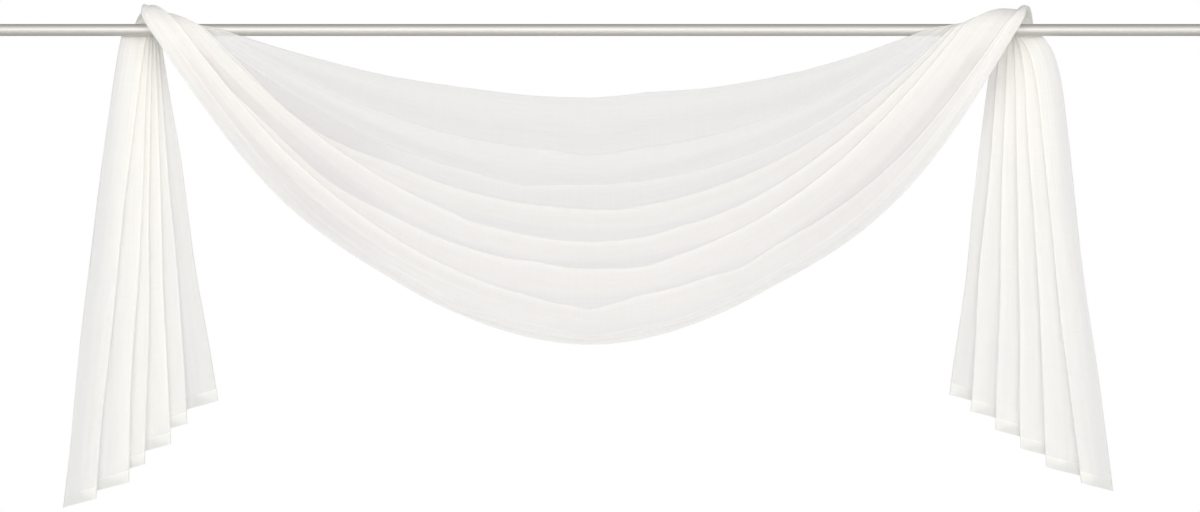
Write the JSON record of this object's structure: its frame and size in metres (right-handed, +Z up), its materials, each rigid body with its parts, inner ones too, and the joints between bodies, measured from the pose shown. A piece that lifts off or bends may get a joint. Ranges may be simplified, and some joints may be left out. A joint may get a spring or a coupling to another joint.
{
  "type": "sheer scarf valance on a curtain rod",
  "caption": "Sheer ivory voile scarf draped over a plain round curtain rod, with one wide pleated swag and two stepped tails.",
  "frame": {"origin": "on the rod's axis at the middle of its length, above the middle of the swag", "axes": "+X along the rod to the right as seen from the room, +Y towards the wall behind, +Z up"},
  "size_m": [2.6, 0.1729, 1.0453],
  "materials": {
    "voile": "sheer plain-weave voile, ivory",
    "rod_metal": "satin nickel"
  },
  "bodies": {
    "root": {"scarf": "voile", "rod": "rod_metal"}
  },
  "joints": []
}
